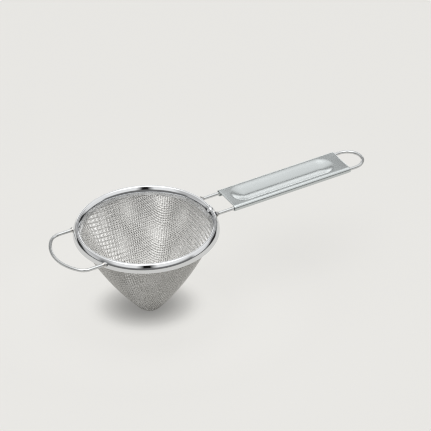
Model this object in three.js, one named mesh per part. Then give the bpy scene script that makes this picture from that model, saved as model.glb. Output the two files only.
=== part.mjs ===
// Small conical strainer in stainless steel: two nested woven-mesh cones held in a rolled rim,
// a wire handle with a pressed sheet grip, and a wire rest loop opposite the handle.
// Millimetres, +Z up. The origin is the centre of the rim, on the plane where the wires' undersides
// rest on a vessel. +X points along the handle, -X to the rest loop, and the cones point down.
import * as THREE from 'three';

// Clearance that stands for the contact between two pieces.
const GAP = 0.3;

// Rim: a rolled channel, open below, whose two ends lap at a seam beside the handle. Its section runs
// from the inner foot up over the crown and down to the outer foot. Each stretch gives the lean from
// upright, in degrees, that the sheet has reached at its end, and its length.
const RIM_RADIUS = 45;          // outside of the rolled band
const RIM_TOP = 3.9;            // height of the crown
const RIM_LEAN = 9;             // lean at the inner foot
const RIM_STRETCHES = [
  [15, 1.4], [23, 1.6], [36, 0.7], [40, 1.3], [142, 2], [147, 1.5], [158, 0.5], [165, 1.1], [180, 1.7],
];
const RIM_SHEET = 0.4;
const SEAM_ANGLE = -3.5;        // degrees from the handle axis to the cut end of the lap
const LAP_ANGLE = 3;            // length of the end that slides inside the lap
const LAP_FULL = 3.5;           // stretch of the lap that is swaged out all the way
const LAP_TAPER = 3.5;          // stretch over which the lap returns to the plain section
const LAP_RISE = 0.6;           // how far the lap is swaged out over the end inside it

// Core hoop that the outer mesh is folded over, inside the rim.
const HOOP_RADIUS = 42.7;
const HOOP_Z = 0.05;
const HOOP_WIRE = 0.45;

// Mesh cones: bulged sides that run into a round tip.
const CONE_TOP_RADIUS = 41.6;   // middle of the outer mesh at the rim
const CONE_TIP_Z = -59.05;      // middle of the outer mesh at the tip
const TIP_RADIUS = 10;
const CONE_BULGE = 2.3;         // how far the side stands out from a straight cone
const OUTER_MESH = 0.7;         // thickness of the outer weave
const INNER_MESH = 0.5;         // thickness of the inner weave
const INNER_TOP_RADIUS = 40.6;
const INNER_TIP_Z = -57.3;
const INNER_TIP_RADIUS = 9.2;
const INNER_MESH_TOP = 0.2;
const FOLD_RADIUS = 1.1;        // middle of the outer mesh where it folds over the hoop

// Wires.
const WIRE = 1.1;               // radius of the handle wire and of the rest-loop wire
const WIRE_Z = WIRE;
const LEG_Y = 9.6;              // half the spacing of the handle's legs
const LEG_START = 45.2;
const LOOP_CENTRE = 143.4;      // centre of the round hanging loop at the handle's end
const REST_Y = 21.4;            // half the spacing of the rest loop's legs
const REST_START = 41.3;
const REST_END = 62;            // rim centre to the middle of the rest loop's wire
const REST_CROWN = 29;          // radius of the rest loop's outer side
const REST_CORNER = 8;

// Welds: a flat collar of metal between each wire end and the rim.
const WELD_RADIUS = 1.5;
const WELD_END_RADIUS = 1.2;
const WELD_LENGTH = 0.6;

// Grip: one pressed sheet, rolled round both legs, with a long thumb recess.
const GRIP_START = 56;
const GRIP_END = 139;
const GRIP_SHEET = 0.6;
const CURL_RADIUS = WIRE + GAP + GRIP_SHEET / 2;
const CURL_EXTENT = 225;        // degrees that the edge turns round the wire from its top
const CURL_EXTENT_END = 120;    // the same at the trimmed far end
const TRIM_START = 125;
const RECESS_START = 60.5;
const RECESS_END = 131.5;
const RECESS_HALF_WIDTH = 8.2;
const RECESS_DEPTH = 1.9;
const RECESS_POWER = 1.6;       // how square the recess runs out of its flat land, 1 being a cone

// Facets.
const RING_STEPS = 48;
const WIRE_SIDES = 10;
const WELD_SIDES = 12;
const BEND_STEP = 20;           // degrees of the rim's section that one facet turns at most
const LAND_SHARES = [1, 0.84, 0.68, 0.5, 0.32, 0.15];   // across half the recess, from its edge in
const RAMP_SHARES = [0, 0.12, 0.3, 0.55, 1];            // along the round end of the recess
const TROUGH_SHARES = [0.25, 0.5, 0.75];                // along the whole recess

const radians = (degrees) => degrees * Math.PI / 180;

const steel = (color, roughness) => new THREE.MeshStandardMaterial({ color, roughness, metalness: 1 });

function named(name, geometry, material) {
  const mesh = new THREE.Mesh(geometry, material);
  mesh.name = name;
  return mesh;
}

// An indexed geometry from points and from faces that each list the corners of a polygon.
function solid(points, faces) {
  const geometry = new THREE.BufferGeometry();
  geometry.setAttribute('position', new THREE.Float32BufferAttribute(points.flat(), 3));
  const index = [];
  for (const face of faces) {
    for (let i = 1; i < face.length - 1; i += 1) index.push(face[0], face[i], face[i + 1]);
  }
  geometry.setIndex(index);
  return geometry;
}

// Points on a circular arc in a plane, in order from one angle to the other.
function arc(cx, cy, rx, ry, from, to, steps) {
  const points = [];
  for (let i = 0; i <= steps; i += 1) {
    const a = radians(from + (to - from) * i / steps);
    points.push([cx + rx * Math.cos(a), cy + ry * Math.sin(a)]);
  }
  return points;
}

// The outline of a strip of even thickness whose middle runs along the given points.
function thicken(path, thickness) {
  const side = (sign) => path.map((point, i) => {
    const before = path[Math.max(i - 1, 0)];
    const after = path[Math.min(i + 1, path.length - 1)];
    const dx = after[0] - before[0];
    const dy = after[1] - before[1];
    const scale = sign * thickness / 2 / Math.hypot(dx, dy);
    return [point[0] + dy * scale, point[1] - dx * scale];
  });
  return [...side(1), ...side(-1).reverse()];
}

// Middle line of the rim's section as [radius, z], with its crown and its outer side where they belong.
function rimLine() {
  const points = [[0, 0]];
  let lean = RIM_LEAN;
  for (const [reached, length] of RIM_STRETCHES) {
    const steps = Math.ceil((reached - lean) / BEND_STEP);
    for (let k = 0; k < steps; k += 1) {
      const a = radians(lean + (reached - lean) * (k + 0.5) / steps);
      const [r, z] = points[points.length - 1];
      points.push([r + Math.sin(a) * length / steps, z + Math.cos(a) * length / steps]);
    }
    lean = reached;
  }
  const outer = Math.max(...points.map(([r]) => r));
  const crown = Math.max(...points.map(([, z]) => z));
  const outwards = RIM_RADIUS - RIM_SHEET / 2 - outer;
  const upwards = RIM_TOP - RIM_SHEET / 2 - crown;
  return points.map(([r, z]) => [r + outwards, z + upwards]);
}

// Outline of the rim's sheet, its middle line moved outwards by rise.
function rimSection(rise) {
  const line = rimLine();
  const swaged = thicken(line, 2 * rise).slice(line.length).reverse();
  return thicken(swaged, RIM_SHEET);
}

// The band is swept from the cut end of the lap, once round, to the end inside the lap.
function rimBand() {
  const total = 360 + LAP_ANGLE;
  const stops = [0, LAP_FULL / 2, LAP_FULL, LAP_FULL + LAP_TAPER / 2, LAP_FULL + LAP_TAPER];
  const plainStart = LAP_FULL + LAP_TAPER;
  for (let i = 1; i <= RING_STEPS; i += 1) stops.push(plainStart + (total - plainStart) * i / RING_STEPS);
  const points = [];
  const faces = [];
  const count = rimSection(0).length;
  stops.forEach((turn, k) => {
    const swage = THREE.MathUtils.clamp((plainStart - turn) / LAP_TAPER, 0, 1);
    const a = radians(SEAM_ANGLE - turn);
    for (const [r, z] of rimSection(LAP_RISE * swage)) points.push([r * Math.cos(a), r * Math.sin(a), z]);
    if (k === 0) return;
    for (let i = 0; i < count; i += 1) {
      const j = (i + 1) % count;
      faces.push([(k - 1) * count + i, (k - 1) * count + j, k * count + j, k * count + i]);
    }
  });
  // Each cut end is closed by quads between the strip's two faces.
  const last = (stops.length - 1) * count;
  for (let i = 0; i < count / 2 - 1; i += 1) {
    const ring = [i, count - 1 - i, count - 2 - i, i + 1];
    faces.push(ring);
    faces.push(ring.map((n) => last + n).reverse());
  }
  return named('rim_band', solid(points, faces), steel(0xd4d6d5, 0.12));
}

function lathe(outline) {
  return new THREE.LatheGeometry(outline.map(([r, z]) => new THREE.Vector2(r, z)), RING_STEPS)
    .rotateX(Math.PI / 2);
}

function rimHoop() {
  const ring = arc(HOOP_RADIUS, HOOP_Z, HOOP_WIRE, HOOP_WIRE, -90, 270, 8);
  return named('rim_core_hoop', lathe(ring), steel(0xb9bbb9, 0.3));
}

// Middle of a mesh cone as [radius, z], from the tip on the axis up to the rim.
function coneProfile(topRadius, tipZ, tipRadius) {
  const centre = tipZ + tipRadius;
  const reach = Math.hypot(topRadius, centre);
  const halfAngle = Math.atan2(topRadius, -centre) - Math.asin(tipRadius / reach);
  const tip = arc(0, centre, tipRadius, tipRadius, -90, -halfAngle * 180 / Math.PI, 4);
  const [startR, startZ] = tip.pop();
  const side = [];
  const steps = 9;
  for (let i = 0; i <= steps; i += 1) {
    const t = i / steps;
    const bulge = 4 * t * (1 - t) * CONE_BULGE;
    side.push([
      startR + (topRadius - startR) * t + bulge * Math.cos(halfAngle),
      startZ * (1 - t) - bulge * Math.sin(halfAngle),
    ]);
  }
  return [...tip, ...side];
}

// A mesh cone is the closed envelope of its weave; its ends on the axis are put exactly there.
function meshCone(name, path, thickness, material) {
  const outline = thicken(path, thickness);
  outline[0][0] = 0;
  outline[outline.length - 1][0] = 0;
  return named(name, lathe(outline), material);
}

function innerMesh() {
  const path = coneProfile(INNER_TOP_RADIUS, INNER_TIP_Z, INNER_TIP_RADIUS);
  path.push([INNER_TOP_RADIUS, INNER_MESH_TOP]);
  return meshCone('inner_mesh', path, INNER_MESH, steel(0xb7b7b2, 0.4));
}

function outerMesh() {
  const path = coneProfile(CONE_TOP_RADIUS, CONE_TIP_Z, TIP_RADIUS);
  const fold = arc(HOOP_RADIUS, HOOP_Z, FOLD_RADIUS, FOLD_RADIUS, 180, 0, 6);
  return meshCone('outer_mesh', [...path, ...fold], OUTER_MESH, steel(0x9a9a94, 0.42));
}

// A round wire swept along a plane curve that lies at the height of the wires.
function wire(name, curve, steps) {
  const section = new THREE.Shape(arc(0, 0, WIRE, WIRE, 0, 360 - 360 / WIRE_SIDES, WIRE_SIDES - 1)
    .map(([x, y]) => new THREE.Vector2(x, y)));
  const geometry = new THREE.ExtrudeGeometry(section, { steps, extrudePath: curve, curveSegments: 1 });
  return named(name, geometry, steel(0xc4c6c4, 0.2));
}

const at = ([x, y]) => new THREE.Vector3(x, y, WIRE_Z);

// Straight lines through the given points, evenly walked by the extrusion.
function track(points) {
  const path = new THREE.CurvePath();
  for (let i = 1; i < points.length; i += 1) path.add(new THREE.LineCurve3(at(points[i - 1]), at(points[i])));
  return path;
}

// One wire: out along a leg, round the hanging loop and back along the other leg.
function handleWire() {
  const loop = arc(LOOP_CENTRE, 0, LEG_Y, LEG_Y, -90, 90, 24);
  return wire('handle_wire', track([[LEG_START, -LEG_Y], ...loop, [LEG_START, LEG_Y]]), 84);
}

// The rest loop: two short legs, tight corners and a wide round outer side.
function restLoop() {
  const crownCentre = REST_CROWN - REST_END;
  const cornerY = REST_Y - REST_CORNER;
  const cornerX = crownCentre - Math.sqrt((REST_CROWN - REST_CORNER) ** 2 - cornerY ** 2);
  const meet = Math.atan2(cornerY, crownCentre - cornerX) * 180 / Math.PI;
  const half = [
    [-REST_START, REST_Y],
    ...arc(cornerX, cornerY, REST_CORNER, REST_CORNER, 90, 180 - meet, 10),
    ...arc(crownCentre, 0, REST_CROWN, REST_CROWN, 180 - meet, 180, 10).slice(1),
  ];
  const other = half.slice(0, -1).reverse().map(([x, y]) => [x, -y]);
  return wire('rest_loop', track([...half, ...other]), 44);
}

// A weld collar: a short round button on the line of the wire it joins.
function weld(name, x, y) {
  const half = WELD_LENGTH / 2;
  const edge = WELD_END_RADIUS;
  const outline = [[0, -half], [edge, -half], [WELD_RADIUS, 0], [edge, half], [0, half]];
  const button = new THREE.LatheGeometry(outline.map(([r, z]) => new THREE.Vector2(r, z)), WELD_SIDES);
  const mesh = named(name, button, steel(0xa9aaa6, 0.35));
  mesh.rotation.z = -Math.PI / 2;
  mesh.position.set(x, y, WIRE_Z);
  return mesh;
}

// How deep the thumb recess is at a place on the grip's top.
function recess(x, y) {
  const from = RECESS_START + RECESS_HALF_WIDTH;
  const to = RECESS_END - RECESS_HALF_WIDTH;
  const away = Math.hypot(x - THREE.MathUtils.clamp(x, from, to), y) / RECESS_HALF_WIDTH;
  return RECESS_DEPTH * Math.max(1 - away ** RECESS_POWER, 0);
}

// Middle of the grip's sheet across the handle at one station, as [y, z], from lip to lip.
function gripSection(x) {
  const trim = THREE.MathUtils.clamp((x - TRIM_START) / (GRIP_END - TRIM_START), 0, 1);
  const extent = THREE.MathUtils.lerp(CURL_EXTENT, CURL_EXTENT_END, trim);
  const plate = WIRE_Z + CURL_RADIUS;
  const curl = arc(LEG_Y, WIRE_Z, CURL_RADIUS, CURL_RADIUS, 90, 90 - extent, 8);
  const land = [];
  for (const share of LAND_SHARES) {
    const y = share * RECESS_HALF_WIDTH;
    land.push([y, plate - recess(x, y)]);
  }
  const right = [...land.reverse(), ...curl];
  const left = right.map(([y, z]) => [-y, z]).reverse();
  return [...left, [0, plate - recess(x, 0)], ...right];
}

function grip() {
  const stations = [
    GRIP_START,
    ...RAMP_SHARES.map((t) => RECESS_START + t * RECESS_HALF_WIDTH),
    RECESS_START + 2 * RECESS_HALF_WIDTH,
    ...TROUGH_SHARES.map((t) => RECESS_START + t * (RECESS_END - RECESS_START)),
    ...[...RAMP_SHARES].reverse().map((t) => RECESS_END - t * RECESS_HALF_WIDTH),
    (RECESS_END + GRIP_END) / 2,
    GRIP_END,
  ];
  const points = [];
  const faces = [];
  const sections = stations.map((x) => thicken(gripSection(x), GRIP_SHEET).map(([y, z]) => [x, y, z]));
  const count = sections[0].length;
  sections.forEach((section, k) => {
    points.push(...section);
    if (k === 0) return;
    for (let i = 0; i < count; i += 1) {
      const j = (i + 1) % count;
      faces.push([(k - 1) * count + i, (k - 1) * count + j, k * count + j, k * count + i]);
    }
  });
  const last = (stations.length - 1) * count;
  for (let i = 0; i < count / 2 - 1; i += 1) {
    const ring = [i, count - 1 - i, count - 2 - i, i + 1];
    faces.push(ring);
    faces.push(ring.map((n) => last + n).reverse());
  }
  return named('grip', solid(points, faces), steel(0xb4b8b7, 0.32));
}

const strainer = new THREE.Group();
const handleWeldX = LEG_START - GAP - WELD_LENGTH / 2;
const restWeldX = -(REST_START - GAP - WELD_LENGTH / 2);
strainer.add(rimBand(), rimHoop(), innerMesh(), outerMesh(), handleWire(), grip(), restLoop());
strainer.add(weld('handle_weld_left', handleWeldX, LEG_Y), weld('handle_weld_right', handleWeldX, -LEG_Y));
strainer.add(weld('rest_weld_left', restWeldX, REST_Y), weld('rest_weld_right', restWeldX, -REST_Y));

export default strainer;
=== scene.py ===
"""Looks of a small conical strainer: two woven steel cones in a rolled rim, a wire handle with a
pressed grip, and a wire rest loop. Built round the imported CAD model, in metres, +Z up, +X along the
handle. Lengths in this script are millimetres until MM turns them into metres."""

import math

import bpy
import numpy as np
from mathutils import Matrix, Vector


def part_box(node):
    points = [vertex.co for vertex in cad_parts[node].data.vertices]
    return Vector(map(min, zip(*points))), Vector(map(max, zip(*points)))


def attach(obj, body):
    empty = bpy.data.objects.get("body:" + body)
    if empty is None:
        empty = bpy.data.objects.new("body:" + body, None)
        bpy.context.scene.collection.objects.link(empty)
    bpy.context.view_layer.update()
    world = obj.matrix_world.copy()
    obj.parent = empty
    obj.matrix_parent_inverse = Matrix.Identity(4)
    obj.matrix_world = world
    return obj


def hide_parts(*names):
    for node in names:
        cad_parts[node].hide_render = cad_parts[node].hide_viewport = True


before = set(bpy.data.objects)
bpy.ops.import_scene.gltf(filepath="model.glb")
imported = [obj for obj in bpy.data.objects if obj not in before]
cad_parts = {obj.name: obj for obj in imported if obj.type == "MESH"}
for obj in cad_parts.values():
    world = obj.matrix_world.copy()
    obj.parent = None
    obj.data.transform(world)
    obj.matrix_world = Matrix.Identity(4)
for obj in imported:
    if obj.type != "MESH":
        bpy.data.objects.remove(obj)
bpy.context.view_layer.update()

MM = 0.001
TINY = 1e-6

# Sizes that the CAD model gives.
WIRE = (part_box("handle_wire")[1].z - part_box("handle_wire")[0].z) / MM / 2
WIRE_Z = (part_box("handle_wire")[1].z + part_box("handle_wire")[0].z) / MM / 2
LEG_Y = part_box("handle_wire")[1].y / MM - WIRE
LOOP_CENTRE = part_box("handle_wire")[1].x / MM - WIRE - LEG_Y
REST_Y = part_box("rest_loop")[1].y / MM - WIRE
REST_END = -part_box("rest_loop")[0].x / MM - WIRE
RIM_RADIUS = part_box("rim_band")[1].y / MM
GRIP_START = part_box("grip")[0].x / MM
GRIP_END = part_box("grip")[1].x / MM
TIP_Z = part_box("outer_mesh")[0].z / MM

# Rim section and its lap. Each stretch is the lean from upright that it reaches, and its length.
RIM_TOP = 3.9
RIM_LEAN = 9
RIM_STRETCHES = (
    (15, 1.4), (23, 1.6), (36, 0.7), (40, 1.3), (142, 2.0), (147, 1.5), (158, 0.5), (165, 1.1), (180, 1.7),
)
RIM_SHEET = 0.4
RIM_STEP = 0.08
RIM_POINTS = 72
SEAM_ANGLE = -3.5
LAP_ANGLE = 3
LAP_FULL = 3.5
LAP_TAPER = 3.5
LAP_RISE = 0.6
LAP_STATIONS = 24
RING_STATIONS = 300

# Hoop inside the rim.
HOOP_RADIUS = 42.7
HOOP_Z = 0.05
HOOP_WIRE = 0.45
HOOP_SIDES = 16
HOOP_STATIONS = 180

# Weaves: where the middle of each cone runs, and its pitch.
OUTER = {"top": 41.6, "tip_z": -59.05, "tip_radius": 10.0, "pitch": 1.55}
INNER = {"top": 40.6, "tip_z": -57.3, "tip_radius": 9.2, "pitch": 1.45}
BULGE = 2.3                # how far the cone's flank stands out from a straight line
WEAVE_WIRE = 0.25
WEAVE_LIFT = 0.98          # share of a wire's radius by which it passes over and under
WEAVE_TURN = math.radians(45)
TIP_STEPS = 60
FLANK_POINTS = 200
PROFILE_STEP = 0.1
FOLD_RADIUS = 1.1          # of the coarse wires round the hoop
FOLD_STEPS = 6
INNER_TOP_Z = 0.2

# Wires of the handle and the rest loop.
WIRE_SIDES = 20
WIRE_STEP = 0.8
WIRE_GAP = 0.1             # between a wire's cut end and the rim
WIRE_DOME = 0.25           # height of the cut end's point, as a share of the radius
LOOP_STEPS = 60
CORNER_STEPS = 30
CROWN_STEPS = 40
REST_CROWN = 29.0
REST_CORNER = 8.0

# Grip.
GRIP_SHEET = 0.6
CURL_GAP = 0.3             # between the wire and the sheet rolled round it
CURL_RADIUS = WIRE + CURL_GAP + GRIP_SHEET / 2
CURL_EXTENT = 225
CURL_EXTENT_END = 120
CURL_STEPS = 22
LAND_POINTS = 61
TRIM_START = 125.0         # where the curls start to be cut back towards the far end
RECESS_START = 60.5
RECESS_END = 131.5
RECESS_HALF_WIDTH = 8.2
RECESS_DEPTH = 1.9
RECESS_POWER = 1.6
RECESS_SOFT = 0.05
END_DISH = 0.2             # how far the middle of the sheet's cut ends is drawn down
END_REACH = 7.5
END_BEVEL = 0.12           # length over which the cut ends are thinned, and by how much
END_THINNING = 0.16

# Weld beads: distance out from the rim, and radius.
WELD_OUTLINE = ((-0.25, 1.85), (0.05, 1.8), (0.35, 1.62), (0.7, 1.45), (1.1, 1.3), (1.5, 1.18), (1.8, 1.06))
WELD_STEP = 0.12
WELD_SIDES = 28
WELD_UNEVEN = 0.07
WELD_HEIGHT = 0.92         # height as a share of width
WELD_WAVES = ((3.1, 1.3, 0), (0, 2.7, -1.9), (1, 0, 3.7))


# ---------------------------------------------------------------- meshes

def make_mesh(name, points, faces, material):
    """A smooth mesh object from an array of points in millimetres and an array of triangles or quads."""
    points = np.asarray(points, float).reshape(-1, 3) * MM
    faces = np.asarray(faces, np.int32)
    mesh = bpy.data.meshes.new(name)
    mesh.vertices.add(len(points))
    mesh.vertices.foreach_set("co", points.astype(np.float32).ravel())
    corners = faces.shape[1]
    mesh.loops.add(faces.size)
    mesh.loops.foreach_set("vertex_index", faces.ravel())
    mesh.polygons.add(len(faces))
    mesh.polygons.foreach_set("loop_start", np.arange(0, faces.size, corners, dtype=np.int32))
    mesh.polygons.foreach_set("use_smooth", np.ones(len(faces), bool))
    mesh.update(calc_edges=True)
    mesh.validate()
    obj = bpy.data.objects.new(name, mesh)
    bpy.context.scene.collection.objects.link(obj)
    obj.data.materials.append(material)
    return obj


def part(obj, node):
    """The piece rides with the object and stands in for its CAD node, which is hidden."""
    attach(obj, "root")
    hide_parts(node)


def arc(cx, cy, rx, ry, start, end, steps):
    """Points along an arc of an ellipse, from one angle to another in degrees."""
    a = np.radians(np.linspace(start, end, steps + 1))
    return np.stack([cx + rx * np.cos(a), cy + ry * np.sin(a)], 1)


def unit(vectors):
    return vectors / np.linalg.norm(vectors, axis=1)[:, None]


def resample(path, step=None, count=None):
    """Points along a line of points, evenly spaced: close to the given step, or as many as count."""
    path = np.asarray(path, float)
    path = path[np.r_[True, np.linalg.norm(np.diff(path, axis=0), axis=1) > TINY]]
    reach = np.r_[0, np.cumsum(np.linalg.norm(np.diff(path, axis=0), axis=1))]
    count = count or max(2, int(round(reach[-1] / step)) + 1)
    at = np.linspace(0, reach[-1], count)
    return np.stack([np.interp(at, reach, path[:, k]) for k in range(path.shape[1])], 1)


def revolve(outline, angle):
    """An outline of radius and height, stood up at an angle in radians round the object's axis."""
    return np.stack([outline[:, 0] * np.cos(angle), outline[:, 0] * np.sin(angle), outline[:, 1]], 1)


def loft(sections, closed):
    """Points and quads between matching closed sections. The quads face outwards where the sections
    run the way that thicken makes them. Rings drawn the other way are reversed by their maker."""
    sections = np.asarray(sections)
    stations, count = sections.shape[:2]
    index = np.arange(stations * count).reshape(stations, count)
    after = np.roll(index, -1, 0) if closed else index[1:]
    here = index if closed else index[:-1]
    quads = np.stack([here, np.roll(here, -1, 1), np.roll(after, -1, 1), after], -1)
    return sections.reshape(-1, 3), quads.reshape(-1, 4)


CAP_STEPS = 4


def thicken(path, thickness):
    """Closed outline of a strip of even thickness along a plane line, with rounded ends."""
    d = unit(np.gradient(path, axis=0))
    n = np.stack([d[:, 1], -d[:, 0]], 1)
    half = thickness / 2
    turns = np.radians(np.linspace(0, 180, CAP_STEPS + 2)[1:-1])
    end = [path[-1] + half * (n[-1] * math.cos(t) + d[-1] * math.sin(t)) for t in turns]
    start = [path[0] - half * (n[0] * math.cos(t) + d[0] * math.sin(t)) for t in turns]
    return np.concatenate([path + n * half, end, (path - n * half)[::-1], start])


def strip_caps(stations, path_points):
    """Quads that close both ends of a lofted strip made by thicken."""
    count = 2 * path_points + 2 * CAP_STEPS
    loop = np.roll(np.arange(count), CAP_STEPS // 2)
    first = np.array([[loop[i], loop[-1 - i], loop[-2 - i], loop[i + 1]] for i in range(count // 2 - 1)])
    last = (stations - 1) * count + first[:, ::-1]
    return np.concatenate([first, last])


def close_rings(rings, tips):
    """Points and triangles of a lofted tube whose ends are closed by fans to their two tip points."""
    points, quads = loft(rings, False)
    n, sides = len(points), np.shape(rings)[1]
    first = np.arange(sides)
    last = n - sides + first
    triangles = np.concatenate([
        quads[:, [0, 1, 2]], quads[:, [0, 2, 3]],
        np.stack([first, np.full(sides, n), np.roll(first, -1)], 1),
        np.stack([last, np.roll(last, -1), np.full(sides, n + 1)], 1),
    ])
    return np.concatenate([points, tips]), triangles


# ---------------------------------------------------------------- materials

def noise(nt, vector, scale, detail, roughness=0.5):
    node = nt.nodes.new("ShaderNodeTexNoise")
    node.inputs["Scale"].default_value = scale
    node.inputs["Detail"].default_value = detail
    node.inputs["Roughness"].default_value = roughness
    nt.links.new(vector, node.inputs["Vector"])
    return node.outputs["Fac"]


def bump(nt, shader, height, strength, distance):
    node = nt.nodes.new("ShaderNodeBump")
    node.inputs["Strength"].default_value = strength
    node.inputs["Distance"].default_value = distance
    nt.links.new(height, node.inputs["Height"])
    nt.links.new(node.outputs["Normal"], shader.inputs["Normal"])


def fill_ramp(ramp, stops):
    """Sets a colour ramp to stops of position and colour, given in rising order."""
    elements = ramp.color_ramp.elements
    for element, (position, colour) in zip((elements[0], elements[1]), (stops[0], stops[-1])):
        element.position = position
        element.color = colour
    for position, colour in stops[1:-1]:
        elements.new(position).color = colour


def metal(name, colour, spread, roughness, rough_spread, finish=None):
    """A bare metal whose colour and roughness vary over the surface; finish adds its own detail."""
    mat = bpy.data.materials.new(name)
    mat.use_nodes = True
    nt = mat.node_tree
    shader = nt.nodes["Principled BSDF"]
    shader.inputs["Metallic"].default_value = 1.0
    where = nt.nodes.new("ShaderNodeTexCoord").outputs["Object"]
    cloud = noise(nt, where, scale=60.0, detail=4.0)
    mix = nt.nodes.new("ShaderNodeMix")
    mix.data_type = "RGBA"
    mix.inputs["A"].default_value = [c - spread for c in colour] + [1.0]
    mix.inputs["B"].default_value = [c + spread for c in colour] + [1.0]
    nt.links.new(cloud, mix.inputs["Factor"])
    nt.links.new(mix.outputs["Result"], shader.inputs["Base Color"])
    span = nt.nodes.new("ShaderNodeMapRange")
    span.inputs["To Min"].default_value = roughness - rough_spread
    span.inputs["To Max"].default_value = roughness + rough_spread
    nt.links.new(cloud, span.inputs["Value"])
    nt.links.new(span.outputs["Result"], shader.inputs["Roughness"])
    if finish:
        finish(nt, shader, where)
    return mat


def scratches(scale, stretch, strength, distance):
    """A fine bump, drawn out into lines along the axis whose stretch is small."""
    def finish(nt, shader, where):
        fit = nt.nodes.new("ShaderNodeMapping")
        fit.inputs["Scale"].default_value = stretch
        nt.links.new(where, fit.inputs["Vector"])
        lines = noise(nt, fit.outputs["Vector"], scale, detail=6.0, roughness=0.65)
        bump(nt, shader, lines, strength, distance)
    return finish


def heat_tint(nt, shader, where):
    """Paler and darker patches left by the heat, over a lumpy surface."""
    patch = noise(nt, where, scale=900.0, detail=3.0)
    colours = nt.nodes.new("ShaderNodeValToRGB")
    fill_ramp(colours, ((0.35, (0.42, 0.43, 0.45, 1)), (0.65, (0.66, 0.64, 0.60, 1))))
    nt.links.new(patch, colours.inputs["Fac"])
    nt.links.new(colours.outputs["Color"], shader.inputs["Base Color"])
    bump(nt, shader, patch, strength=0.5, distance=0.0001)


polished = metal(
    "polished_steel", (0.72, 0.73, 0.74), spread=0.02, roughness=0.05, rough_spread=0.015,
    finish=scratches(scale=900.0, stretch=(1.0, 1.0, 1.0), strength=0.05, distance=0.00002),
)
drawn = metal(
    "drawn_wire", (0.60, 0.61, 0.61), spread=0.03, roughness=0.14, rough_spread=0.04,
    finish=scratches(scale=1200.0, stretch=(0.05, 1.0, 1.0), strength=0.12, distance=0.00003),
)
satin = metal(
    "satin_sheet", (0.57, 0.60, 0.60), spread=0.02, roughness=0.26, rough_spread=0.03,
    finish=scratches(scale=1500.0, stretch=(0.03, 1.0, 1.0), strength=0.2, distance=0.00002),
)
# Painted light: the inner weave's steel is given a paler colour for the light on the cone's inside, and the
# outer weave's steel a darker one for the shade on its outside.
fine_weave_painted_lit = metal("fine_weave_steel_painted_lit", (0.96, 0.955, 0.94), spread=0.04, roughness=0.34, rough_spread=0.06)
coarse_weave_painted_shaded = metal(
    "coarse_weave_steel_painted_shaded", (0.56, 0.555, 0.54), spread=0.06, roughness=0.34, rough_spread=0.06,
)
hoop_steel = metal("hoop_steel", (0.6, 0.6, 0.59), spread=0.04, roughness=0.3, rough_spread=0.05)
weld_steel = metal(
    "weld_steel", (0.6, 0.6, 0.58), spread=0.04, roughness=0.28, rough_spread=0.05, finish=heat_tint,
)


# ---------------------------------------------------------------- rim

def rim_line():
    """Middle line of the rolled band as radius and height, from the inner foot over the crown to the
    outer foot."""
    r, z = 0.0, 0.0
    points = [(r, z)]
    lean = RIM_LEAN
    for reached, length in RIM_STRETCHES:
        steps = max(2, round(length / RIM_STEP))
        for k in range(steps):
            a = math.radians(lean + (reached - lean) * (k + 0.5) / steps)
            r += math.sin(a) * length / steps
            z += math.cos(a) * length / steps
            points.append((r, z))
        lean = reached
    points = np.array(points)
    points += [RIM_RADIUS - RIM_SHEET / 2 - points[:, 0].max(), RIM_TOP - RIM_SHEET / 2 - points[:, 1].max()]
    return resample(points, count=RIM_POINTS)


def build_rim():
    """The band, rolled once round and a little further, its first end swaged out over its last."""
    line = rim_line()
    d = unit(np.gradient(line, axis=0))
    out = np.stack([-d[:, 1], d[:, 0]], 1)
    lap = LAP_FULL + LAP_TAPER
    turns = np.r_[np.linspace(0, lap, LAP_STATIONS), np.linspace(lap, 360 + LAP_ANGLE, RING_STATIONS)[1:]]
    sections = []
    for turn in turns:
        ease = np.clip((lap - turn) / LAP_TAPER, 0, 1)
        rise = LAP_RISE * ease * ease * (3 - 2 * ease)
        sections.append(revolve(thicken(line + out * rise, RIM_SHEET), math.radians(SEAM_ANGLE - turn)))
    points, quads = loft(sections, False)
    caps = strip_caps(len(turns), len(line))
    return make_mesh("rim_band_roll", points, np.concatenate([quads, caps]), polished)


def build_hoop():
    ring = arc(HOOP_RADIUS, HOOP_Z, HOOP_WIRE, HOOP_WIRE, 0, 360, HOOP_SIDES)[:-1]
    angles = np.radians(np.linspace(0, 360, HOOP_STATIONS + 1)[:-1])
    points, quads = loft([revolve(ring, a) for a in angles], True)
    return make_mesh("rim_core_wire", points, quads[:, ::-1], hoop_steel)


# ---------------------------------------------------------------- weave

def cone_profile(cone):
    """Middle of a cone as radius and height, finely, from the tip up to the rim plane."""
    centre = cone["tip_z"] + cone["tip_radius"]
    reach = math.hypot(cone["top"], centre)
    half_angle = math.atan2(cone["top"], -centre) - math.asin(cone["tip_radius"] / reach)
    tip = arc(0, centre, cone["tip_radius"], cone["tip_radius"], -90, -math.degrees(half_angle), TIP_STEPS)
    start = tip[-1]
    t = np.linspace(0, 1, FLANK_POINTS)[1:]
    bulge = 4 * t * (1 - t) * BULGE
    r = start[0] + (cone["top"] - start[0]) * t + bulge * math.cos(half_angle)
    z = start[1] * (1 - t) - bulge * math.sin(half_angle)
    return resample(np.concatenate([tip, np.stack([r, z], 1)]), step=PROFILE_STEP)


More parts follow.
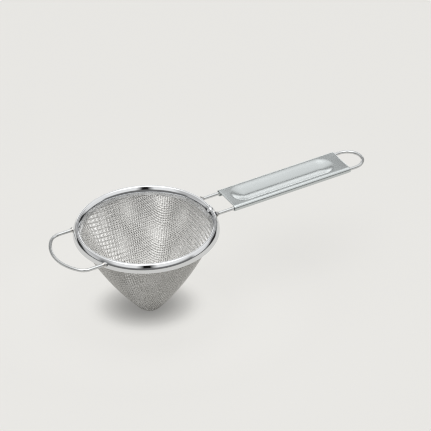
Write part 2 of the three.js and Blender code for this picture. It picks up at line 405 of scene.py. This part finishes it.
class Surface:
    """The cone as a surface of revolution, read by arc length from the tip."""

    def __init__(self, profile):
        self.s = np.r_[0, np.cumsum(np.linalg.norm(np.diff(profile, axis=0), axis=1))]
        self.r, self.z = profile[:, 0], profile[:, 1]
        slope = np.gradient(profile, self.s, axis=0)
        self.dr, self.dz = slope[:, 0], slope[:, 1]
        self.length = self.s[-1]

    def point(self, s, a):
        """Point at arc length s and azimuth a. Past the rim the cone runs on straight."""
        over = np.maximum(s - self.length, 0)
        r = np.interp(s, self.s, self.r) + over * self.dr[-1]
        z = np.interp(s, self.s, self.z) + over * self.dz[-1]
        return np.stack([r * np.cos(a), r * np.sin(a), z], -1)

    def normal(self, s, a):
        """Outward unit normal at arc length s and azimuth a."""
        dr, dz = np.interp(s, self.s, self.dr), np.interp(s, self.s, self.dz)
        return unit(np.stack([dz * np.cos(a), dz * np.sin(a), -dr], -1))


NET_SPARE = 1.25           # length of the net's sides against the cone's slant
NET_MARGIN = 3             # rows worked out past the rim
NET_GUESS = 0.4            # share of the pitch in a first guess, and most in one step
NET_TURN = 0.3             # most azimuth in one step
NET_ROUNDS = 24
NET_PROBE = 1e-4


def weave_net(surface, pitch):
    """Where the wires of a square cloth cross once it is pressed to the cone, for one quarter of it.

    The two middle wires run straight up the cone at right angles. Every other crossing is one pitch
    from the two before it, so the squares shear into diamonds between the middle wires."""
    count = int(surface.length / pitch * NET_SPARE) + 2
    s = np.full((count, count), np.nan)
    a = np.full((count, count), np.nan)
    s[:, 0] = np.arange(count) * pitch
    s[0, :] = np.arange(count) * pitch
    a[:, 0] = 0.0
    a[0, :] = math.pi / 2
    a[0, 0] = 0.0
    point = surface.point(s, np.nan_to_num(a))
    for diagonal in range(2, 2 * count - 1):
        i = np.arange(max(1, diagonal - count + 1), min(diagonal, count))
        j = diagonal - i
        keep = np.minimum(s[i - 1, j], s[i, j - 1]) < surface.length + NET_MARGIN * pitch
        i, j = i[keep], j[keep]
        if not len(i):
            continue
        p, q = point[i - 1, j], point[i, j - 1]
        guess = p + q - point[i - 1, j - 1]

        def miss(at_s, at_a):
            x = surface.point(at_s, at_a)
            return np.stack([np.linalg.norm(x - p, axis=1), np.linalg.norm(x - q, axis=1)], 1) - pitch

        new_s = np.maximum(s[i - 1, j], s[i, j - 1]) + NET_GUESS * pitch
        new_a = np.arctan2(guess[:, 1], guess[:, 0])
        for _ in range(NET_ROUNDS):
            f = miss(new_s, new_a)
            fs = (miss(new_s + NET_PROBE, new_a) - f) / NET_PROBE
            fa = (miss(new_s, new_a + NET_PROBE) - f) / NET_PROBE
            det = fs[:, 0] * fa[:, 1] - fs[:, 1] * fa[:, 0]
            det = np.where(np.abs(det) < TINY, np.sign(det + TINY * TINY) * TINY, det)
            ds = (f[:, 0] * fa[:, 1] - f[:, 1] * fa[:, 0]) / det
            da = (fs[:, 0] * f[:, 1] - fs[:, 1] * f[:, 0]) / det
            new_s = new_s - np.clip(ds, -NET_GUESS * pitch, NET_GUESS * pitch)
            new_a = new_a - np.clip(da, -NET_TURN, NET_TURN)
        s[i, j], a[i, j] = new_s, new_a
        point[i, j] = surface.point(new_s, new_a)
    return s, a


def wire_crossings(s, a, line, family):
    """Arc lengths and azimuths of the crossings along one whole wire, mirrored from the quarter net."""
    along = np.arange(-len(s) + 1, len(s))
    row, column = along, np.full_like(along, line)
    if family == 1:
        row, column = column, row
    quarter_s, quarter_a = s[np.abs(row), np.abs(column)], a[np.abs(row), np.abs(column)]
    x_side, y_side = np.where(row < 0, -1, 1), np.where(column < 0, -1, 1)
    return quarter_s, np.arctan2(np.sin(quarter_a) * y_side, np.cos(quarter_a) * x_side) + WEAVE_TURN


def edge_azimuth(s, a, last, beyond, length):
    """Azimuth at which a wire leaves the cone between two crossings, or None if it has no more."""
    if not (0 <= beyond < len(s) and np.isfinite(s[beyond])):
        return None
    share = (length - s[last]) / max(s[beyond] - s[last], TINY)
    turn = (a[beyond] - a[last] + math.pi) % (2 * math.pi) - math.pi
    return a[last] + share * turn


def inner_edge(a):
    """The fine wires run on up the inside of the rim."""
    return revolve(np.array([[INNER["top"], 0.0], [INNER["top"], INNER_TOP_Z]]), a)


def outer_edge(a):
    """The coarse wires are folded over the hoop inside the rim."""
    return revolve(arc(HOOP_RADIUS, HOOP_Z, FOLD_RADIUS, FOLD_RADIUS, 180, 0, FOLD_STEPS), a)


def weave_wire(surface, s, a, side_up, edge):
    """Path and surface normals of one wire, over and under the others. None where the wire misses the
    cone. side_up is 1 where it passes outside the wire that it crosses, and -1 where it passes inside."""
    inside = np.flatnonzero(np.isfinite(s) & (s < surface.length))
    if len(inside) < 2:
        return None
    low, high = inside[0], inside[-1]
    run = slice(low, high + 1)
    normal = surface.normal(s[run], a[run])
    path = surface.point(s[run], a[run]) + normal * (WEAVE_WIRE * WEAVE_LIFT * side_up[run])[:, None]
    for last, step in ((low, -1), (high, 1)):
        turn = edge_azimuth(s, a, last, last + step, surface.length)
        if turn is None:
            continue
        tail = edge(turn)
        tail_normal = np.repeat(surface.normal(np.array([surface.length]), np.array([turn])), len(tail), 0)
        if step > 0:
            path = np.concatenate([path, tail])
            normal = np.concatenate([normal, tail_normal])
        else:
            path = np.concatenate([tail[::-1], path])
            normal = np.concatenate([tail_normal, normal])
    return path, normal


WEAVE_SIDES = 6
HEXAGON_CAPS = np.array([[3, 2, 1, 0], [5, 4, 3, 0]])


def weave_mesh(path, normal):
    """Points and quads of one six-sided wire along its path."""
    d = unit(np.gradient(path, axis=0))
    side = np.cross(d, normal)
    side /= np.linalg.norm(side, axis=1)[:, None]
    up = np.cross(side, d)
    turn = (np.arange(WEAVE_SIDES) + 0.5) * 2 * np.pi / WEAVE_SIDES
    rings = path[:, None] + WEAVE_WIRE * (
        np.cos(turn)[None, :, None] * side[:, None] + np.sin(turn)[None, :, None] * up[:, None])
    points, quads = loft(rings, False)
    last_caps = HEXAGON_CAPS[:, ::-1] + len(points) - WEAVE_SIDES
    return points, np.concatenate([quads, HEXAGON_CAPS, last_caps])[:, ::-1]


def build_weave(cone, names, node, material, edge):
    """The two families of wires of one cone, each one mesh, passing over and under each other."""
    surface = Surface(cone_profile(cone))
    s, a = weave_net(surface, cone["pitch"])
    lines = np.arange(-len(s) + 1, len(s))
    for family, name in enumerate(names):
        all_points, all_faces, total = [], [], 0
        for line in lines:
            side_up = (1 if family == 0 else -1) * np.where((lines + line) % 2 == 0, 1, -1)
            wire = weave_wire(surface, *wire_crossings(s, a, line, family), side_up, edge)
            if wire is None:
                continue
            points, faces = weave_mesh(*wire)
            all_points.append(points)
            all_faces.append(faces + total)
            total += len(points)
        part(make_mesh(name, np.concatenate(all_points), np.concatenate(all_faces), material), node)


# ---------------------------------------------------------------- wires

def bent_wire(name, plane):
    """A round wire along a plane line at the wires' height, its frame carried along without twist."""
    path = resample(np.column_stack([plane, np.full(len(plane), WIRE_Z)]), step=WIRE_STEP)
    d = unit(np.gradient(path, axis=0))
    side = np.cross(d[0], [0, 0, 1.0])
    turn = np.arange(WIRE_SIDES) * 2 * np.pi / WIRE_SIDES
    rings = []
    for place, t in zip(path, d):
        side = side - t * (side @ t)
        side /= np.linalg.norm(side)
        up = np.cross(side, t)
        rings.append(place + WIRE * (np.cos(turn)[:, None] * side + np.sin(turn)[:, None] * up))
    dome = WIRE * WIRE_DOME
    points, triangles = close_rings(rings, np.stack([path[0] - d[0] * dome, path[-1] + d[-1] * dome]))
    return make_mesh(name, points, triangles[:, ::-1], drawn)


def build_handle_wire():
    start = math.sqrt(RIM_RADIUS ** 2 - LEG_Y ** 2) + WIRE_GAP
    loop = arc(LOOP_CENTRE, 0, LEG_Y, LEG_Y, -90, 90, LOOP_STEPS)
    return bent_wire("handle_wire_bent", np.concatenate([[[start, -LEG_Y]], loop, [[start, LEG_Y]]]))


def build_rest_loop():
    """A shallow crown between two tight corners, and straight legs back to the rim."""
    crown_centre = REST_CROWN - REST_END
    corner_y = REST_Y - REST_CORNER
    corner_x = crown_centre - math.sqrt((REST_CROWN - REST_CORNER) ** 2 - corner_y ** 2)
    meet = math.degrees(math.atan2(corner_y, crown_centre - corner_x))
    start = -math.sqrt(RIM_RADIUS ** 2 - REST_Y ** 2) - WIRE_GAP
    half = np.concatenate([
        [[start, REST_Y]],
        arc(corner_x, corner_y, REST_CORNER, REST_CORNER, 90, 180 - meet, CORNER_STEPS),
        arc(crown_centre, 0, REST_CROWN, REST_CROWN, 180 - meet, 180, CROWN_STEPS)[1:],
    ])
    return bent_wire("rest_loop_bent", np.concatenate([half, half[-2::-1] * [1, -1]]))


# ---------------------------------------------------------------- grip

def recess(x, y):
    """Depth of the thumb recess: a long trough with round ends and a soft edge."""
    low, high = RECESS_START + RECESS_HALF_WIDTH, RECESS_END - RECESS_HALF_WIDTH
    away_from_middle = np.hypot(x - np.clip(x, low, high), y) / RECESS_HALF_WIDTH
    fall = (1 - away_from_middle ** RECESS_POWER) / RECESS_SOFT
    return RECESS_DEPTH * RECESS_SOFT * np.log1p(np.exp(fall))


def end_dish(x, y):
    """The flat ends of the sheet are drawn down a little between the two wires."""
    near = max(0.0, 1 - (x - GRIP_START) / END_REACH, 1 - (GRIP_END - x) / END_REACH)
    return END_DISH * near ** 2 * (1 - (y / LEG_Y) ** 2)


def grip_line(x):
    """Middle line of the sheet across the grip at x, from one curled edge to the other."""
    trim = np.clip((x - TRIM_START) / (GRIP_END - TRIM_START), 0, 1)
    extent = CURL_EXTENT + (CURL_EXTENT_END - CURL_EXTENT) * trim
    y = np.linspace(-LEG_Y, LEG_Y, LAND_POINTS)
    land = np.stack([y, WIRE_Z + CURL_RADIUS - recess(x, y) - end_dish(x, y)], 1)
    right_curl = arc(LEG_Y, WIRE_Z, CURL_RADIUS, CURL_RADIUS, 90, 90 - extent, CURL_STEPS)[1:]
    left_curl = (right_curl * [-1, 1])[::-1]
    return np.concatenate([left_curl, land, right_curl])


def build_grip():
    near, far = RECESS_START + 2 * RECESS_HALF_WIDTH, RECESS_END - 2 * RECESS_HALF_WIDTH
    stations = np.r_[
        GRIP_START, GRIP_START + END_BEVEL,
        np.linspace(GRIP_START + 1, near, 44),
        np.linspace(near, far, 30)[1:-1],
        np.linspace(far, GRIP_END - 1, 52),
        GRIP_END - END_BEVEL, GRIP_END,
    ]
    sections = []
    for x in stations:
        sheet = GRIP_SHEET - (END_THINNING if x in (GRIP_START, GRIP_END) else 0)
        line = grip_line(x)
        outline = thicken(line, sheet)
        sections.append(np.column_stack([np.full(len(outline), x), outline]))
    points, quads = loft(sections, False)
    caps = strip_caps(len(stations), len(line))
    return make_mesh("grip_pressed", points, np.concatenate([quads, caps]), satin)


# ---------------------------------------------------------------- welds

def lump(place):
    """A smooth uneven value between -1 and 1: three crossed waves."""
    return sum(math.sin(x * place[0] + y * place[1] + z * place[2]) for x, y, z in WELD_WAVES) / 3


def build_weld(name, end, y):
    """A bead round the end of a wire, wider where it runs on to the rim, with an uneven surface.
    end is 1 on the handle's side and -1 on the rest loop's."""
    rim_x = math.sqrt(RIM_RADIUS ** 2 - y ** 2)
    rings = []
    for along, radius in resample(WELD_OUTLINE, step=WELD_STEP):
        ring = []
        for k in range(WELD_SIDES):
            t = k * 2 * math.pi / WELD_SIDES
            uneven = WELD_UNEVEN * lump((along * 2 + end, 2 * math.cos(t) + y, 2 * math.sin(t)))
            r = radius * (1 + uneven)
            ring.append([end * (rim_x + along), y + r * math.cos(t), WIRE_Z + r * math.sin(t) * WELD_HEIGHT])
        rings.append(ring)
    rings = np.array(rings)
    points, triangles = close_rings(rings, [rings[0].mean(0), rings[-1].mean(0)])
    return make_mesh(name, points, triangles[:, ::end], weld_steel)


# ---------------------------------------------------------------- directions

HANDLE_TURN = math.radians(27.97)
across = Vector((math.cos(HANDLE_TURN), -math.sin(HANDLE_TURN), 0))
away = Vector((math.sin(HANDLE_TURN), math.cos(HANDLE_TURN), 0))
up_axis = Vector((0, 0, 1))


# ---------------------------------------------------------------- floor

# Tone of the pale floor against distance in mm from the middle of a soft painted shadow under the object,
# with a painted brighter ring round it that lifts the real shadow's edge. The floor's diffuse colour and its
# glow are each this tone times their share.
FLOOR_PAINTED_SHADOW_TONES = (
    (0, 0.37), (8, 0.39), (12, 0.425), (17, 0.505), (22, 0.628), (27, 0.761), (31.7, 0.915),
    (36.6, 1.015), (41.5, 1.04), (56, 1.01), (120, 0.96), (300, 0.945),
)
PAINTED_SHADOW_CENTRE = (-2.0, 4.0)     # middle of the painted shadow, across and away
PAINTED_SHADOW_SQUASH = (0.93, 0.78)    # its size along those two directions
FLOOR_DIFFUSE = 0.22
FLOOR_GLOW = 0.62
FLOOR_TINT = (1.0, 0.988, 0.955)
FLOOR_GAP = 0.2                # below the CAD tip, since the woven wires stand a little proud of it
FLOOR_HALF_SIZE = 6.0          # in metres


def floor_material():
    """Pale matt floor, partly self-lit, with one soft painted shadow and a painted brighter ring round it."""
    mat = bpy.data.materials.new("pale_floor_painted_shadow")
    mat.use_nodes = True
    nt = mat.node_tree
    shader = nt.nodes["Principled BSDF"]
    where = nt.nodes.new("ShaderNodeTexCoord").outputs["Object"]
    lay = nt.nodes.new("ShaderNodeMapping")
    lay.vector_type = "TEXTURE"
    lay.inputs["Location"].default_value = (across * PAINTED_SHADOW_CENTRE[0] + away * PAINTED_SHADOW_CENTRE[1]) * MM
    lay.inputs["Rotation"].default_value = (0, 0, -HANDLE_TURN)
    lay.inputs["Scale"].default_value = (*PAINTED_SHADOW_SQUASH, 1)
    nt.links.new(where, lay.inputs["Vector"])
    flat = nt.nodes.new("ShaderNodeVectorMath")
    flat.operation = "MULTIPLY"
    flat.inputs[1].default_value = (1, 1, 0)
    nt.links.new(lay.outputs["Vector"], flat.inputs[0])
    reach = nt.nodes.new("ShaderNodeVectorMath")
    reach.operation = "LENGTH"
    nt.links.new(flat.outputs["Vector"], reach.inputs[0])
    furthest = FLOOR_PAINTED_SHADOW_TONES[-1][0]
    span = nt.nodes.new("ShaderNodeMapRange")
    span.inputs["From Max"].default_value = furthest * MM
    nt.links.new(reach.outputs["Value"], span.inputs["Value"])
    # Painted shadow: this ramp darkens the floor's colour and glow round the object's foot.
    ramp = nt.nodes.new("ShaderNodeValToRGB")
    fill_ramp(ramp, [(r / furthest, [tone * c for c in FLOOR_TINT] + [1]) for r, tone in FLOOR_PAINTED_SHADOW_TONES])
    nt.links.new(span.outputs["Result"], ramp.inputs["Fac"])
    dim = nt.nodes.new("ShaderNodeVectorMath")
    dim.operation = "SCALE"
    dim.inputs["Scale"].default_value = FLOOR_DIFFUSE
    nt.links.new(ramp.outputs["Color"], dim.inputs[0])
    nt.links.new(dim.outputs["Vector"], shader.inputs["Base Color"])
    nt.links.new(ramp.outputs["Color"], shader.inputs["Emission Color"])
    shader.inputs["Emission Strength"].default_value = FLOOR_GLOW
    shader.inputs["Roughness"].default_value = 0.9
    shader.inputs["Specular IOR Level"].default_value = 0.0
    return mat


def build_floor():
    z = (TIP_Z - FLOOR_GAP) * MM
    corners = [(x * FLOOR_HALF_SIZE, y * FLOOR_HALF_SIZE, z) for x, y in ((-1, -1), (1, -1), (1, 1), (-1, 1))]
    mesh = bpy.data.meshes.new("floor")
    mesh.from_pydata(corners, [], [(0, 1, 2, 3)])
    obj = bpy.data.objects.new("floor", mesh)
    bpy.context.scene.collection.objects.link(obj)
    obj.data.materials.append(floor_material())


# ---------------------------------------------------------------- camera

ELEVATION = math.radians(34.41)
ROLL = math.radians(-1.952)
DISTANCE = 1.8                     # camera to the point aimed at, in metres
RIM_AT = (-0.04237, -0.00629)      # that point's place right of and above the view's middle, in metres
AIM_Z = 2.5
SENSOR = 36.0
LENS = 246.55
CLIP = (0.05, 30)


def build_camera():
    forward = away * math.cos(ELEVATION) - up_axis * math.sin(ELEVATION)
    upward = away * math.sin(ELEVATION) + up_axis * math.cos(ELEVATION)
    right = across * math.cos(ROLL) + upward * math.sin(ROLL)
    top = -across * math.sin(ROLL) + upward * math.cos(ROLL)
    data = bpy.data.cameras.new("camera")
    data.sensor_width = SENSOR
    data.lens = LENS
    data.clip_start, data.clip_end = CLIP
    obj = bpy.data.objects.new("camera", data)
    bpy.context.scene.collection.objects.link(obj)
    matrix = Matrix((right, top, -forward)).transposed().to_4x4()
    aim = Vector((0, 0, AIM_Z * MM))
    matrix.translation = aim - (right * RIM_AT[0] + top * RIM_AT[1] + forward * DISTANCE)
    obj.matrix_world = matrix
    bpy.context.scene.camera = obj


# ---------------------------------------------------------------- light

LIGHT_BEARING = 270        # from across, turning towards away
LIGHT_HEIGHT = 84
LIGHT_DISTANCE = 2.4
LIGHT_SIZE = 2.2
LIGHT_POWER = 17

# Brightness of the studio against degrees above the horizon.
SKY_BASE = ((-90, 0.8), (-1, 0.8), (0, 0.04), (9, 0.04), (15, 0.9), (40, 1.05), (90, 1.05))

# Soft-edged cards: bearing, height, half width, half height and edge in degrees, then brightness.
# Bearing 0 is straight away from the camera, and 90 is to its right.
SKY_CARDS = (
    (0, 10, 24, 9, 5, 1.6),         # pale backdrop low behind the object
    (0, 34, 60, 3, 4, 0.68),        # greyer strip above it
    (0, 26.5, 60, 3.5, 3, 0.1),     # dark gap between the two
    (180, 30, 5, 16, 12, 0.01),     # the dark camera
    (-90, 32, 25, 10, 14, 0.6),     # dimmer wall on the left
    (180, 12, 70, 10, 8, 0.2),      # dark room low behind the camera
)


def build_light():
    """One large soft box overhead, aimed at the object."""
    data = bpy.data.lights.new("overhead", "AREA")
    data.shape = "RECTANGLE"
    data.size, data.size_y = LIGHT_SIZE, LIGHT_SIZE
    data.energy = LIGHT_POWER
    obj = bpy.data.objects.new("overhead", data)
    bpy.context.scene.collection.objects.link(obj)
    a, e = math.radians(LIGHT_BEARING), math.radians(LIGHT_HEIGHT)
    ground = across * math.cos(a) + away * math.sin(a)
    place = (ground * math.cos(e) + up_axis * math.sin(e)) * LIGHT_DISTANCE
    obj.matrix_world = (-place).to_track_quat("-Z", "Y").to_matrix().to_4x4()
    obj.location = place


class Sky:
    """The studio as seen from the object: a base that changes with height, and soft-edged cards."""

    def __init__(self):
        world = bpy.data.worlds.new("studio")
        bpy.context.scene.world = world
        world.use_nodes = True
        self.nt = world.node_tree
        where = self.nt.nodes.new("ShaderNodeTexCoord").outputs["Generated"]
        rise = self.math("ARCSINE", self.dot(where, up_axis))
        self.height = self.math("MULTIPLY", rise, 180 / math.pi)
        bearing = self.math("ARCTAN2", self.dot(where, across), self.dot(where, away))
        self.bearing = self.math("MULTIPLY", bearing, 180 / math.pi)

    def math(self, operation, *values, clamp=False):
        node = self.nt.nodes.new("ShaderNodeMath")
        node.operation = operation
        node.use_clamp = clamp
        for socket, value in zip(node.inputs, values):
            if isinstance(value, bpy.types.NodeSocket):
                self.nt.links.new(value, socket)
            else:
                socket.default_value = value
        return node.outputs[0]

    def dot(self, vector, axis):
        node = self.nt.nodes.new("ShaderNodeVectorMath")
        node.operation = "DOT_PRODUCT"
        self.nt.links.new(vector, node.inputs[0])
        node.inputs[1].default_value = axis
        return node.outputs["Value"]

    def base(self, levels):
        """Colour by height, from levels of degrees above the horizon and brightness."""
        ramp = self.nt.nodes.new("ShaderNodeValToRGB")
        fill_ramp(ramp, [((degrees + 90) / 180, (value, value, value, 1)) for degrees, value in levels])
        share = self.math("DIVIDE", self.math("ADD", self.height, 90.0), 180.0)
        self.nt.links.new(share, ramp.inputs["Fac"])
        return ramp.outputs["Color"]

    def card(self, light, bearing, height, half_width, half_height, edge, value):
        """The light with one soft-edged patch of even brightness laid over it."""
        turned = self.math("WRAP", self.math("SUBTRACT", self.bearing, bearing), 180.0, -180.0)
        aside = self.math("ABSOLUTE", turned)
        off = self.math("ABSOLUTE", self.math("SUBTRACT", self.height, height))
        across_mask = self.math("DIVIDE", self.math("SUBTRACT", half_width + edge, aside), edge, clamp=True)
        up_mask = self.math("DIVIDE", self.math("SUBTRACT", half_height + edge, off), edge, clamp=True)
        mix = self.nt.nodes.new("ShaderNodeMix")
        mix.data_type = "RGBA"
        self.nt.links.new(self.math("MULTIPLY", across_mask, up_mask), mix.inputs["Factor"])
        self.nt.links.new(light, mix.inputs["A"])
        mix.inputs["B"].default_value = (value, value, value, 1)
        return mix.outputs["Result"]


def build_sky():
    sky = Sky()
    light = sky.base(SKY_BASE)
    for card in SKY_CARDS:
        light = sky.card(light, *card)
    sky.nt.links.new(light, sky.nt.nodes["Background"].inputs["Color"])


# ---------------------------------------------------------------- the object and its scene

part(build_rim(), "rim_band")
part(build_hoop(), "rim_core_hoop")
build_weave(
    INNER, ("inner_weave_warp", "inner_weave_weft"), "inner_mesh", fine_weave_painted_lit, inner_edge,
)
build_weave(
    OUTER, ("outer_weave_warp", "outer_weave_weft"), "outer_mesh", coarse_weave_painted_shaded, outer_edge,
)
part(build_handle_wire(), "handle_wire")
part(build_rest_loop(), "rest_loop")
part(build_grip(), "grip")
for wire, end, leg_y in (("handle", 1, LEG_Y), ("rest", -1, REST_Y)):
    for side, y in (("left", leg_y), ("right", -leg_y)):
        weld = f"{wire}_weld_{side}"
        part(build_weld(f"{weld}_bead", end, y), weld)

build_floor()
build_camera()
build_sky()
build_light()
bpy.context.scene.view_settings.view_transform = "Standard"
# A narrow pixel filter and no prefilter keep the fine weave from being smoothed away.
bpy.context.scene.cycles.filter_width = 1.2
bpy.context.scene.cycles.denoising_prefilter = "NONE"
